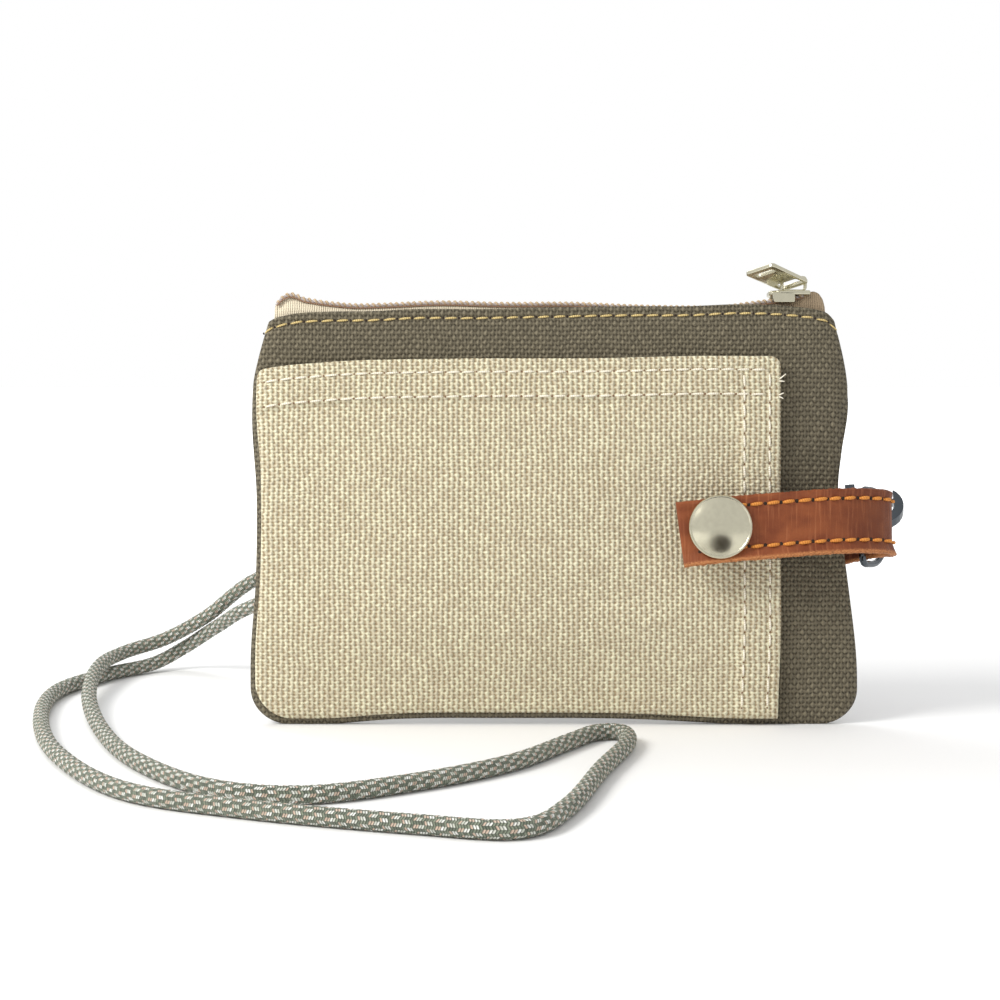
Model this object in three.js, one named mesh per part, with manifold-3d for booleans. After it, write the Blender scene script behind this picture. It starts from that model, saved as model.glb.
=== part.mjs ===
// Neck pouch wallet: a zipped canvas pouch with a card pocket, a leather snap strap, and a neck cord
// on a swivel clasp. Millimetres, +Z up, front towards -Y. The origin is on the resting surface under
// the middle of the pouch, which leans back a little.
import * as THREE from "three";
import { mergeVertices } from "three/addons/utils/BufferGeometryUtils.js";
import Module from "manifold-3d";

const wasm = await Module();
wasm.setup();

// ---- driving dimensions ----
const POUCH_WIDTH = 130;
const CANVAS_HEIGHT = 91;
const CORNER_RADIUS = 8;
const LEAN = THREE.MathUtils.degToRad(6);
const CANVAS = 1.0; // cloth thickness
const LINING = 0.4;
const GAP = 0.3; // between pieces that touch
const BULGE = 4.3; // how far each face crowns over its seams
const FLAT_FROM = 0.9; // the crown's share from which a face is flat
const MOUTH_HALF = 4.6; // half the thickness at the zip
const POCKET_RIGHT = 48.9;
const POCKET_TOP = 79.5;
const HEM = 9;
const ZIP_LENGTH = 113;
const COIL = 1.6; // width and height of one coil
const COIL_SLOT = 1.3; // between the coils, where the slider's neck runs
const COIL_BOTTOM = 91.6;
const SLIDER_X = 51.5; // middle of the slider with the zip closed
const SLIDER_HALF = 4.5;
const STRAP_WIDTH = 14;
const LEATHER = 1.6;
const SNAP_X = 35;
const SNAP_Z = 42.5;
const CAP_RADIUS = 6.7;
const RING_WIRE = 1.6;
const CORD_DIAMETER = 3.5;
const CORD_SIDES = 8;
const CORD_STEPS = 78;

// ---- materials ----
const finish = (color, roughness, metalness = 0) =>
  new THREE.MeshStandardMaterial({ color, roughness, metalness });
const OLIVE = finish(0x6b6353, 0.9);
const BEIGE = finish(0xdccfae, 0.9);
const LINING_CLOTH = finish(0xb9ad92, 0.9);
const TAPE = finish(0xb8ad94, 0.85);
const COIL_NYLON = finish(0x94836a, 0.5);
const NICKEL = finish(0xb1ad99, 0.25, 1);
const LEATHER_TAN = finish(0x9a5639, 0.6);
const GUNMETAL = finish(0x4a4c50, 0.35, 1);
const CORD_BRAID = finish(0x969b91, 0.85);

// ---- helpers ----
const toSolid = (geometry) => {
  const bare = geometry.clone();
  for (const name of ["normal", "uv"]) bare.deleteAttribute(name);
  const merged = mergeVertices(bare, 1e-4);
  const vertProperties = new Float32Array(merged.attributes.position.array);
  const triVerts = new Uint32Array(merged.index.array);
  return new wasm.Manifold(new wasm.Mesh({ numProp: 3, vertProperties, triVerts }));
};

const toGeometry = (solid) => {
  const { vertProperties, triVerts } = solid.getMesh();
  const geometry = new THREE.BufferGeometry();
  geometry.setAttribute("position", new THREE.BufferAttribute(vertProperties, 3));
  geometry.setIndex(new THREE.BufferAttribute(triVerts, 1));
  return geometry;
};

const piece = (name, geometry, material) => {
  const mesh = new THREE.Mesh(geometry, material);
  mesh.name = name;
  return mesh;
};

const box = (x, y, z) => new THREE.BoxGeometry(x[1] - x[0], y[1] - y[0], z[1] - z[0])
  .translate((x[0] + x[1]) / 2, (y[0] + y[1]) / 2, (z[0] + z[1]) / 2);

const discZ = (x, y, radius, depth, sides = 24) => new THREE.CylinderGeometry(radius, radius, depth, sides)
  .rotateX(Math.PI / 2).translate(x, y, 0);

const rodX = (x0, x1, radius, sides = 12) => new THREE.CylinderGeometry(radius, radius, x1 - x0, sides)
  .rotateZ(Math.PI / 2).translate((x0 + x1) / 2, 0, 0);

// closed solid from stations of equal-length loops of corners
const loft = (stations, closedRing = false) => {
  const n = stations[0].length;
  const position = stations.flat(2);
  const index = [];
  const last = closedRing ? stations.length : stations.length - 1;
  for (let s = 0; s < last; s += 1) {
    for (let i = 0; i < n; i += 1) {
      const a = s * n + i;
      const b = s * n + ((i + 1) % n);
      const c = ((s + 1) % stations.length) * n + i;
      const d = ((s + 1) % stations.length) * n + ((i + 1) % n);
      index.push(a, b, d, a, d, c);
    }
  }
  if (!closedRing) {
    const end = (stations.length - 1) * n;
    for (let i = 1; i < n - 1; i += 1) index.push(0, i + 1, i, end, end + i, end + i + 1);
  }
  const geometry = new THREE.BufferGeometry();
  geometry.setAttribute("position", new THREE.Float32BufferAttribute(position, 3));
  geometry.setIndex(index);
  return geometry;
};

// cloth over a grid: left(z) and right(z) bound each row, near(x, z) and far(x, z) are its two faces;
// a row at no height is sheared to lie level in spite of the lean
const cloth = ({ left, right, rows, columns, near, far }) => {
  const nx = columns + 1;
  const nz = rows.length;
  const position = [];
  for (const face of [near, far]) {
    for (const z of rows) {
      for (let i = 0; i < nx; i += 1) {
        const across = 0.5 - 0.5 * Math.cos((Math.PI * i) / columns); // closer together at the seams
        const x = left(z) + (right(z) - left(z)) * across;
        const y = face(x, z);
        position.push(x, y, z === 0 ? y * Math.tan(LEAN) : z);
      }
    }
  }
  const index = [];
  const quad = (a, b, c, d) => index.push(a, b, c, a, c, d);
  const at = (i, k, f) => f * nx * nz + k * nx + i;
  for (let k = 0; k < nz - 1; k += 1) {
    for (let i = 0; i < columns; i += 1) {
      quad(at(i, k, 0), at(i + 1, k, 0), at(i + 1, k + 1, 0), at(i, k + 1, 0));
      quad(at(i, k, 1), at(i, k + 1, 1), at(i + 1, k + 1, 1), at(i + 1, k, 1));
    }
    quad(at(0, k, 0), at(0, k + 1, 0), at(0, k + 1, 1), at(0, k, 1));
    quad(at(columns, k, 0), at(columns, k, 1), at(columns, k + 1, 1), at(columns, k + 1, 0));
  }
  for (let i = 0; i < columns; i += 1) {
    quad(at(i, 0, 0), at(i, 0, 1), at(i + 1, 0, 1), at(i + 1, 0, 0));
    quad(at(i, nz - 1, 0), at(i + 1, nz - 1, 0), at(i + 1, nz - 1, 1), at(i, nz - 1, 1));
  }
  const geometry = new THREE.BufferGeometry();
  geometry.setAttribute("position", new THREE.Float32BufferAttribute(position, 3));
  geometry.setIndex(index);
  return geometry;
};

// ---- pouch outline and thickness ----
const cornerInset = (z, radius = CORNER_RADIUS) =>
  z >= radius ? 0 : radius - Math.sqrt(radius ** 2 - (radius - z) ** 2);
const topInset = (z) => 3.2 * THREE.MathUtils.smoothstep(z, 76, CANVAS_HEIGHT);
const sideX = (z) => POUCH_WIDTH / 2 - cornerInset(z) - topInset(z);
const seamHalf = CANVAS + 0.25;
const crown = (x, z) => {
  const place = Math.min(1, Math.abs(x / sideX(z)));
  const up = THREE.MathUtils.smoothstep(z, -4, 26);
  const towardsMouth = THREE.MathUtils.smoothstep(z, 62, 86);
  const belly = BULGE * Math.min(1, (up * (1 - place ** 2) ** 0.6) / FLAT_FROM);
  const mouth = (MOUTH_HALF - seamHalf) * (1 - place ** 14) ** 0.5;
  return THREE.MathUtils.lerp(belly, mouth, towardsMouth);
};
const outerY = (x, z) => seamHalf + crown(x, z);
const innerY = (x, z) => outerY(x, z) - CANVAS;
const panelRows = [0, 1.5, 4, 8, 14, 22, 32, 44, 56, 66, 74, 80, 86, CANVAS_HEIGHT];

const panel = (name, side) => piece(name, cloth({
  left: (z) => -sideX(z), right: sideX, rows: panelRows, columns: 16,
  near: (x, z) => (side < 0 ? -outerY(x, z) : innerY(x, z)),
  far: (x, z) => (side < 0 ? -innerY(x, z) : outerY(x, z)),
}), OLIVE);

const liningRows = [10, 18, 26, 34, 44, 56, 66, 74, 82];
const lining = (name, side) => {
  const outside = (x, z) => innerY(x, z) - 2 * GAP;
  const inside = (x, z) => outside(x, z) - LINING;
  return piece(name, cloth({
    left: (z) => -sideX(z) + 9, right: (z) => sideX(z) - 9, rows: liningRows, columns: 14,
    near: (x, z) => (side < 0 ? -outside(x, z) : inside(x, z)),
    far: (x, z) => (side < 0 ? -inside(x, z) : outside(x, z)),
  }), LINING_CLOTH);
};

// The card pocket is caught in the left and bottom seams; its top and right edges are turned in twice.
const pocketLift = (x, z) => 2 * GAP + 0.4 * THREE.MathUtils.smoothstep(z, 10, POCKET_TOP)
  + 0.5 * THREE.MathUtils.smoothstep(x, 0, POCKET_RIGHT);
const pocketBack = (x, z) => -outerY(x, z) - pocketLift(x, z);
const pocketThickness = (x, z) => {
  const hemmed = x > POCKET_RIGHT - HEM || z > POCKET_TOP - HEM;
  return hemmed ? 2 * CANVAS - 0.2 : CANVAS;
};
const pocketPanel = piece("pocket_panel", cloth({
  left: (z) => -sideX(z) + 1.2, right: (z) => POCKET_RIGHT - cornerInset(z, 2),
  rows: [0.8, 2.5, 5, 9, 16, 26, 38, 50, 60, ...[HEM, HEM - 1, 3, 0].map((below) => POCKET_TOP - below)],
  columns: 16,
  near: (x, z) => pocketBack(x, z) - pocketThickness(x, z),
  far: pocketBack,
}), BEIGE);

// ---- zip ----
const extrudeX = (outline, x0, x1) => {
  const shape = new THREE.Shape(outline.map(([y, z]) => new THREE.Vector2(y, z)));
  const geometry = new THREE.ExtrudeGeometry(shape, { depth: x1 - x0, bevelEnabled: false });
  // shape x is depth, shape y is height, and the extrusion runs along X
  return geometry.applyMatrix4(new THREE.Matrix4().set(0, 0, 1, x0, 1, 0, 0, 0, 0, 1, 0, 0, 0, 0, 0, 1));
};
const tapeHalf = ZIP_LENGTH / 2;
const tapeOuter = 2.5;
const tapeOutline = [
  [-tapeOuter, 83], [-tapeOuter + 0.5, 83], [-tapeOuter + 0.5, 90.4], [-COIL_SLOT / 2, 91.0],
  [-COIL_SLOT / 2, 91.3], [-tapeOuter + 0.2, 91.3], [-tapeOuter, 90.8],
];
const mirrored = (outline) => outline.map(([y, z]) => [-y, z]).reverse();
const coilOutline = [0, 1, 2, 3, 4, 5, 6, 7].map((i) => {
  const angle = (i / 8) * 2 * Math.PI + Math.PI / 8;
  const middle = -COIL_SLOT / 2 - COIL / 2;
  return [middle + (COIL / 2) * Math.cos(angle), COIL_BOTTOM + COIL / 2 + (COIL / 2) * Math.sin(angle)];
});
const zipHalf = 56;
const zip = [
  piece("zip_tape_front", extrudeX(tapeOutline, -tapeHalf, tapeHalf), TAPE),
  piece("zip_tape_back", extrudeX(mirrored(tapeOutline), -tapeHalf, tapeHalf), TAPE),
  piece("zip_coil_front", extrudeX(coilOutline, -zipHalf, zipHalf), COIL_NYLON),
  piece("zip_coil_back", extrudeX(mirrored(coilOutline), -zipHalf, zipHalf), COIL_NYLON),
  piece("zip_bottom_stop", box([-58, -56.3], [-2.4, 2.4], [91.6, 93.4]), NICKEL),
  piece("zip_top_stop_front", box([56.3, 57.6], [-2.4, -0.6], [91.6, 93.4]), NICKEL),
  piece("zip_top_stop_back", box([56.3, 57.6], [0.6, 2.4], [91.6, 93.4]), NICKEL),
];

// The slider wraps the coils: a top plate with side flanges, a neck in the slot, and a wing plate below.
const sliderTop = COIL_BOTTOM + COIL + GAP;
const slider = (() => {
  const ends = [SLIDER_X - SLIDER_HALF, SLIDER_X + SLIDER_HALF];
  const flangeX = [ends[0], SLIDER_X + 1.1]; // the flanges stop where the two tapes part
  const flangeZ = [COIL_BOTTOM + 0.1, sliderTop + 0.5];
  const plate = toSolid(box(ends, [-3.3, 3.3], [sliderTop, sliderTop + 1]));
  const flange = (side) => toSolid(box(flangeX, side < 0 ? [-3.3, -2.6] : [2.6, 3.3], flangeZ));
  const neck = toSolid(box([SLIDER_X + 0.6, ends[1]], [-0.35, 0.35], [90.0, sliderTop + 0.5]));
  const wing = toSolid(box(ends, [-1.6, 1.6], [89.4, 90.2]));
  return piece("slider_body", toGeometry(plate.add(flange(-1)).add(flange(1)).add(neck).add(wing)), NICKEL);
})();

// The crown is the bridge on the slider's plate that holds the pull.
const PULL_X = SLIDER_X + 1.4;
const crownBase = sliderTop + 1 + GAP;
const crownPiece = (() => {
  const bridge = toSolid(box([PULL_X - 3.1, PULL_X + 2.7], [-0.6, 0.6], [crownBase, crownBase + 3.2]));
  const window = toSolid(box([PULL_X - 2.4, PULL_X + 2], [-2, 2], [crownBase + 0.2, crownBase + 2.6]));
  return piece("slider_crown", toGeometry(bridge.subtract(window)), NICKEL);
})();

// The pull is a flat tab, slotted at its tip. The bar at its other end lies loose in the crown's window,
// so that the tab rests raised, turned half sideways and tipped.
const PULL_Z = crownBase + 1.25;
const PULL_TIPPED = THREE.MathUtils.degToRad(-10);
const PULL_RAISED = THREE.MathUtils.degToRad(10);
const PULL_TURNED = THREE.MathUtils.degToRad(45);
const pull = (() => {
  const tab = new THREE.Shape();
  tab.moveTo(0.5, -3.6).lineTo(0.5, 3.6).lineTo(-11.8, 3.8);
  tab.quadraticCurveTo(-12.8, 3.8, -12.8, 2.8).lineTo(-12.8, -2.8);
  tab.quadraticCurveTo(-12.8, -3.8, -11.8, -3.8).lineTo(0.5, -3.6);
  const window = new THREE.Path();
  window.moveTo(-0.5, -2.9).lineTo(-3.5, -2.9).lineTo(-3.5, 2.9).lineTo(-0.5, 2.9).lineTo(-0.5, -2.9);
  const slot = new THREE.Path();
  slot.moveTo(-9.8, -2.4).lineTo(-11.3, -2.4).lineTo(-11.3, 2.4).lineTo(-9.8, 2.4).lineTo(-9.8, -2.4);
  tab.holes.push(window, slot);
  const geometry = new THREE.ExtrudeGeometry(tab, { depth: 0.9, bevelEnabled: false, curveSegments: 3 });
  const mesh = piece("slider_pull", geometry.translate(0, 0, -0.45), NICKEL);
  mesh.position.set(PULL_X, 0, PULL_Z);
  mesh.rotation.set(PULL_TIPPED, PULL_RAISED, PULL_TURNED, "ZYX");
  return mesh;
})();

// ---- leather strap: [x, y, middle height] along the leather's middle ----
const strapFrontRoute = [
  [26.5, -12.4, 40.8], [35.5, -12.6, 41.9], [46, -11.9, 42.8], [56, -10.3, 43.6], [64, -8.1, 44],
  [69, -5.5, 44], [72, -2.9, 43.8], [73, -0.7, 43.6],
];
const strapBackRoute = [
  [73, -0.2, 43.5], [72.5, 2.6, 43.3], [70.2, 5.4, 43], [66, 7.4, 42], [60, 8.0, 40.6],
  [52, 7.6, 39.1], [44, 6.9, 37.6], [36, 6.8, 36.2], [27, 7.2, 34.6],
];
const ribbon = (route) => loft(route.map(([x, y, z], i) => {
  const before = route[Math.max(0, i - 1)];
  const after = route[Math.min(route.length - 1, i + 1)];
  const along = new THREE.Vector2(after[0] - before[0], after[1] - before[1]).normalize();
  const out = [along.y * (LEATHER / 2), -along.x * (LEATHER / 2)];
  const h = STRAP_WIDTH / 2;
  return [[1, h], [1, -h], [-1, -h], [-1, h]]
    .map(([side, up]) => [x + side * out[0], y + side * out[1], z + up]);
}));
// the two arms end a little apart at the loop's apex, so that they part cleanly as the strap opens
const strapBack = toSolid(ribbon(strapBackRoute));
const snapHole = new THREE.CylinderGeometry(2.2, 2.2, 8, 16).translate(SNAP_X, -12, SNAP_Z);
const strapFront = toSolid(ribbon(strapFrontRoute)).subtract(toSolid(snapHole));
const strap = [
  piece("strap_back", toGeometry(strapBack), LEATHER_TAN),
  piece("strap_front", toGeometry(strapFront), LEATHER_TAN),
];

// ---- snap: closed profiles as [radius, distance in front of the post's back face] ----
const POST_BACK = 5.6;
const turned = (profile, sides = 20) => {
  const points = profile.map(([r, y]) => new THREE.Vector2(r, y));
  // the lathe turns about Y; the half turn about Z points its height towards the front
  return new THREE.LatheGeometry(points, sides).rotateZ(Math.PI).translate(SNAP_X, -POST_BACK, SNAP_Z);
};
const snapProfiles = {
  snap_post: [[0, 0], [3.6, 0], [3.6, 0.25], [0.8, 0.25], [0.8, 2.2], [0, 2.2]],
  snap_stud: [[0, 2.5], [4.4, 2.5], [4.4, 3], [1.7, 3.2], [1.7, 4.1], [2, 4.5], [1.7, 5.1], [0, 5.3]],
  snap_socket: [
    [2.4, 3.5], [4.7, 3.5], [4.7, 4.1], [4, 4.3], [4, 5.8],
    [2.2, 5.8], [2.4, 5.1], [2.6, 4.5], [2.4, 4.1], [2.4, 3.5],
  ],
  snap_cap: [
    [0, 6.2], [1.7, 6.2], [1.7, 8.2], [CAP_RADIUS - 0.3, 8.2], [CAP_RADIUS, 8.5], [CAP_RADIUS - 0.2, 9.1],
    [4.6, 9.8], [2.4, 10.2], [0, 10.3],
  ],
};
const snap = Object.fromEntries(Object.entries(snapProfiles)
  .map(([name, profile]) => [name, piece(name, turned(profile), NICKEL)]));
const postHole = new THREE.CylinderGeometry(1.3, 1.3, 6, 12).translate(SNAP_X, -6.5, SNAP_Z);
pocketPanel.geometry = toGeometry(toSolid(pocketPanel.geometry).subtract(toSolid(postHole)));

// ---- D-ring: its straight bar stands inside the strap's loop and its arc hangs out behind ----
const RING_BAR = [67.8, 1.9, 43];
const RING_TURN = THREE.MathUtils.degToRad(57);
const ringHalf = STRAP_WIDTH / 2 + 1.2;
const ringArm = 5.3;
const dRing = (() => {
  const corner = 1.6;
  const path = [];
  const arc = (cx, cz, radius, from, to, steps) => {
    for (let i = 0; i <= steps; i += 1) {
      const a = from + ((to - from) * i) / steps;
      path.push([cx + radius * Math.cos(a), cz + radius * Math.sin(a)]);
    }
  };
  arc(corner, -ringHalf + corner, corner, Math.PI, 1.5 * Math.PI, 3);
  arc(ringArm, 0, ringHalf, -Math.PI / 2, Math.PI / 2, 14);
  arc(corner, ringHalf - corner, corner, Math.PI / 2, Math.PI, 3);
  const sides = 8;
  const stations = path.map(([u, w], i) => {
    const [u0, w0] = path[(i + path.length - 1) % path.length];
    const [u1, w1] = path[(i + 1) % path.length];
    const along = new THREE.Vector2(u1 - u0, w1 - w0).normalize();
    return Array.from({ length: sides }, (unused, k) => {
      const a = (2 * Math.PI * k) / sides;
      const out = (RING_WIRE / 2) * Math.cos(a);
      return [u + along.y * out, (RING_WIRE / 2) * Math.sin(a), w - along.x * out];
    });
  });
  const mesh = piece("d_ring", loft(stations, true), GUNMETAL);
  mesh.position.set(...RING_BAR);
  mesh.rotation.z = RING_TURN;
  return mesh;
})();

// ---- swivel clasp: local +X runs from the swivel to the hook's nose, local Z is the hook's thickness ----
const HOOK_OUTER = 5.5;
const HOOK_INNER = 3.3;
const HOOK_THICK = 2.6;
const GATE_THICK = 1.4;
const GATE_PIVOT = [-5, 2.9];
const EYE_X = -19.9;
const EYE_RADIUS = 2.9;
const slotZ = [-GATE_THICK / 2 - GAP, GATE_THICK / 2 + GAP];
const claspBody = (() => {
  const ring = toSolid(discZ(0, 0, HOOK_OUTER, HOOK_THICK, 28))
    .subtract(toSolid(discZ(0, 0, HOOK_INNER, 6, 24)));
  const mouth = toSolid(box([-3.4, 3.4], [1.6, 8], [-3, 3]));
  const shank = toSolid(box([-10, -4.2], [-2.8, 4.2], [-HOOK_THICK / 2, HOOK_THICK / 2]))
    .subtract(toSolid(discZ(0, 0, HOOK_INNER, 6, 24)));
  const barrel = toSolid(rodX(-14.5, -9.5, 2.3, 16));
  const bore = toSolid(rodX(-16, -7.5, 1, 12));
  const headWindow = toSolid(box([-9, -6.8], [-1.9, 1.9], [-3, 3]));
  const gateSlot = toSolid(box([-7.2, -2], [0.6, 8], slotZ));
  const pinHole = toSolid(discZ(...GATE_PIVOT, 0.75, 6, 10));
  const solid = ring.subtract(mouth).add(shank).add(barrel);
  const cuts = [bore, headWindow, gateSlot, pinHole];
  return piece("clasp_body", toGeometry(cuts.reduce((rest, cut) => rest.subtract(cut), solid)), GUNMETAL);
})();
const claspGate = (() => {
  const bar = toSolid(discZ(0, 0, HOOK_OUTER - 0.1, GATE_THICK, 28))
    .subtract(toSolid(discZ(0, 0, HOOK_INNER + 0.1, 6, 24)))
    .intersect(toSolid(box([-4.2, 2.8], [1.9, 8], [-2, 2])));
  const lug = toSolid(discZ(...GATE_PIVOT, 1.5, GATE_THICK, 14));
  const thumb = toSolid(box([-7, -4.8], [3.6, 7.4], [-GATE_THICK / 2, GATE_THICK / 2]));
  const pinHole = toSolid(discZ(...GATE_PIVOT, 0.75, 6, 10));
  return piece("clasp_gate", toGeometry(bar.add(lug).add(thumb).subtract(pinHole)), GUNMETAL);
})();
const gatePin = piece("gate_pin", discZ(...GATE_PIVOT, 0.4, HOOK_THICK - 0.2, 10), NICKEL);
const gateSpring = piece("gate_spring", box([-6.9, -6.7], [0.8, 2.9], [-0.5, 0.5]), NICKEL);
const swivelEye = (() => {
  const stem = toSolid(rodX(EYE_X + EYE_RADIUS, -7.6, 0.65, 12));
  const head = toSolid(rodX(-8.6, -7.5, 1.4, 14));
  const eye = toSolid(new THREE.TorusGeometry(EYE_RADIUS, 0.65, 8, 20).translate(EYE_X, 0, 0));
  return piece("swivel_eye", toGeometry(stem.add(head).add(eye)), GUNMETAL);
})();

// Both cord ends are crimped in one end cap, one above the other; its tab hangs on the swivel's eye.
const CAP_MOUTH_X = -34;
const tabX = EYE_X - EYE_RADIUS;
const cordEndCap = (() => {
  const tab = toSolid(new THREE.CylinderGeometry(2.3, 2.3, 1.2, 16).translate(tabX, 0, 0))
    .add(toSolid(box([tabX - 3.4, tabX], [-0.6, 0.6], [-2.3, 2.3])))
    .subtract(toSolid(new THREE.CylinderGeometry(1.35, 1.35, 4, 14).translate(tabX, 0, 0)));
  const block = toSolid(box([CAP_MOUTH_X, tabX - 2.4], [-2.6, 2.6], [-4.6, 4.6]));
  return piece("cord_end_cap", toGeometry(block.add(tab)), GUNMETAL);
})();

const CHAIN_AT = [73.5, 13, 47.4];
const CHAIN_YAW = THREE.MathUtils.degToRad(-7);
const CHAIN_DROP = THREE.MathUtils.degToRad(-4);
const HOOK_ROLL = THREE.MathUtils.degToRad(50);
const chain = new THREE.Group();
chain.position.set(...CHAIN_AT);
chain.rotation.set(0, CHAIN_DROP, CHAIN_YAW, "ZYX");
const hook = new THREE.Group();
hook.rotation.x = HOOK_ROLL;
hook.add(claspBody, claspGate, gatePin, gateSpring);
chain.add(hook, swivelEye, cordEndCap);

// ---- assembly ----
const pouch = new THREE.Group();
pouch.rotation.x = -LEAN;
pouch.add(
  panel("front_panel", -1), panel("back_panel", 1), lining("front_lining", -1), lining("back_lining", 1),
  pocketPanel, ...zip, slider, crownPiece, pull, ...strap, ...Object.values(snap), dRing, chain,
);

// ---- neck cord: one length from the end cap round the floor and back, by hand-chosen points ----
const cordRoute = [
  [39.1, 22.45, 45.44], [25, 24.1, 44.2], [0, 30, 40.5], [-30, 42, 36], [-55, 55.5, 30.5],
  [-72.8, 66.7, 24.5], [-86, 74.5, 14.5], [-97, 78.5, 8.3], [-106.5, 70, 5.8], [-108.5, 48, 5.3],
  [-104.5, 16, 3.2], [-94.5, -20.3, 1.8], [-82, -52, 1.8], [-65, -77, 1.8], [-47, -84, 1.8],
  [-28, -73, 1.8], [-10, -54.5, 1.8], [2.5, -31, 1.8], [8.3, -20.8, 1.8], [13.8, -21.5, 1.8],
  [13.8, -34, 1.8], [7.5, -60, 1.8], [0, -94, 1.8], [-8.5, -111, 1.8], [-26, -107.5, 1.8],
  [-56, -95.5, 1.8], [-80, -79.5, 1.8], [-99, -44.5, 1.8], [-111, -4, 1.8], [-115.5, 33, 1.8],
  [-109, 60, 1.8], [-100, 75.5, 2.2], [-92.5, 80.5, 5.8], [-83, 72.5, 12.2], [-72.3, 58, 19],
  [-50, 46, 27], [-20, 34, 33.8], [10, 27, 37.4], [28, 23.6, 40.2], [39.4, 21.95, 41.26],
];
const neckCord = (() => {
  const path = new THREE.CatmullRomCurve3(cordRoute.map((p) => new THREE.Vector3(...p)), false, "catmullrom");
  const section = new THREE.Shape(Array.from({ length: CORD_SIDES }, (unused, i) => {
    const a = (2 * Math.PI * i) / CORD_SIDES;
    return new THREE.Vector2(Math.cos(a), Math.sin(a)).multiplyScalar(CORD_DIAMETER / 2);
  }));
  const along = { steps: CORD_STEPS, extrudePath: path, bevelEnabled: false };
  const geometry = new THREE.ExtrudeGeometry(section, along);
  return piece("neck_cord", geometry, CORD_BRAID);
})();

const wallet = new THREE.Group();
wallet.add(pouch, neckCord);
export default wallet;
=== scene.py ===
"""Neck pouch wallet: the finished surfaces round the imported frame.

Lengths are in millimetres until a mesh is made.
"""

import math

import bmesh
import bpy
import numpy as np
from mathutils import Matrix, Vector


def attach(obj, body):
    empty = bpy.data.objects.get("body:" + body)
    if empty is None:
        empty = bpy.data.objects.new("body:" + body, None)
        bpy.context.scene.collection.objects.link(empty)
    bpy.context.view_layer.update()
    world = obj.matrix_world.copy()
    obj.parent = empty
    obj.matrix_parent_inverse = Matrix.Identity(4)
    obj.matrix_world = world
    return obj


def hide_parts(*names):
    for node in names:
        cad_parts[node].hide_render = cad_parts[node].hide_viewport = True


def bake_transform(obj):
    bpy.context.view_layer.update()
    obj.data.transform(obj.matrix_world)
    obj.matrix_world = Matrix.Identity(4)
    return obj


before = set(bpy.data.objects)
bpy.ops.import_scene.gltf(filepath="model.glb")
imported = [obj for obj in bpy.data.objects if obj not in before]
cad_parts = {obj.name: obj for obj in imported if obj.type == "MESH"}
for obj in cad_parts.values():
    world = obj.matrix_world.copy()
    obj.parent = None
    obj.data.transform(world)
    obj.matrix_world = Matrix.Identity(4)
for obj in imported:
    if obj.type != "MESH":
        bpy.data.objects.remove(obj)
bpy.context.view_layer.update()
scene = bpy.context.scene

MM = 0.001
FRONT, BACK = -1, 1
LEAN = math.radians(6)
RIM = (0, 0.06, 0.22, 0.5, 0.9, 1.45)  # places across a rolled edge

# pouch
POUCH_WIDTH = 131.0
POUCH_HEIGHT = 91
CORNER = 8
SEAM_HALF = 1.25
BULGE = 4.3
MOUTH_HALF = 4.6
CANVAS = 1.0
EDGE_ROLL = 0.95
SEAM_DOWN = 2.1  # the stitch row, down from the top edge

# pocket
POCKET_RIGHT = 48.9
HEM = 9
HEM_FOLD = 0.75  # how much thicker the cloth is there
POCKET_ROWS = (3.0, 8.3)  # stitch rows, down from the top edge
POCKET_COLUMNS = (2.5, 8.0)  # and in from the right edge

# zip
COIL_OUT = 1.45
COIL_PITCH = 1.28
TAPE_THICKNESS = 0.45
TAPE_FOOT = 84
STOP_Z = (91.7, 92.9)
SLIDER = (47.0, 56.0)
FLANGE_END = 52.6
PULL_AT = (52.9, 0, 96.05)
PULL_TURNED, PULL_RAISED, PULL_TIPPED = 45, 10, -10
CROWN_X = (PULL_AT[0] - 3.1, PULL_AT[0] + 2.7)
CROWN_Z = (94.8, 98.0)

# strap and snap
LEATHER = 1.6
LEATHER_ROUND = 0.45
STRAP_WIDTH = 14
STITCH_UP, STITCH_DOWN = 4.9, -4.1
SNAP = (35.0, 42.5)
POST_BACK = 5.6
CAP_RADIUS = 6.8

# neck cord
CORD_DIAMETER = 3.5
CORD_WALES = 16
CORD_STITCH = 0.5
CORD_RELIEF = 0.16
STITCH_SLANT = 0.55  # of a stitch, across one row

# each sewn row's pitch, stitch length and thread radius
TOP_STITCH = (3.37, 2.55, 0.24)
POCKET_STITCH = (3.3, 2.6, 0.24)
STRAP_STITCH = (3.5, 2.75, 0.4)

rng = np.random.default_rng(7)


# ---- geometry helpers ----
def leaned(points):
    """Pouch coordinates to the row frame: the pouch leans back about X."""
    p = np.asarray(points, float)
    c, s = math.cos(LEAN), math.sin(LEAN)
    return np.stack([p[..., 0], p[..., 1] * c + p[..., 2] * s, p[..., 2] * c - p[..., 1] * s], axis=-1)


def smoothstep(x, a, b):
    t = np.clip((x - a) / (b - a), 0, 1)
    return t * t * (3 - 2 * t)


def flowing(points):
    """A smooth function through a few points (place, value)."""
    xs, ys = np.array(points, float).T
    slopes = np.gradient(ys, xs)

    def value(x):
        x = np.clip(x, xs[0], xs[-1])
        i = np.clip(np.searchsorted(xs, x, side="right") - 1, 0, len(xs) - 2)
        h = xs[i + 1] - xs[i]
        t = (x - xs[i]) / h
        return (
            (2 * t**3 - 3 * t**2 + 1) * ys[i]
            + (t**3 - 2 * t**2 + t) * h * slopes[i]
            + (3 * t**2 - 2 * t**3) * ys[i + 1]
            + (t**3 - t**2) * h * slopes[i + 1]
        )

    return value


def linked(name, data):
    obj = bpy.data.objects.new(name, data)
    scene.collection.objects.link(obj)
    return obj


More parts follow.
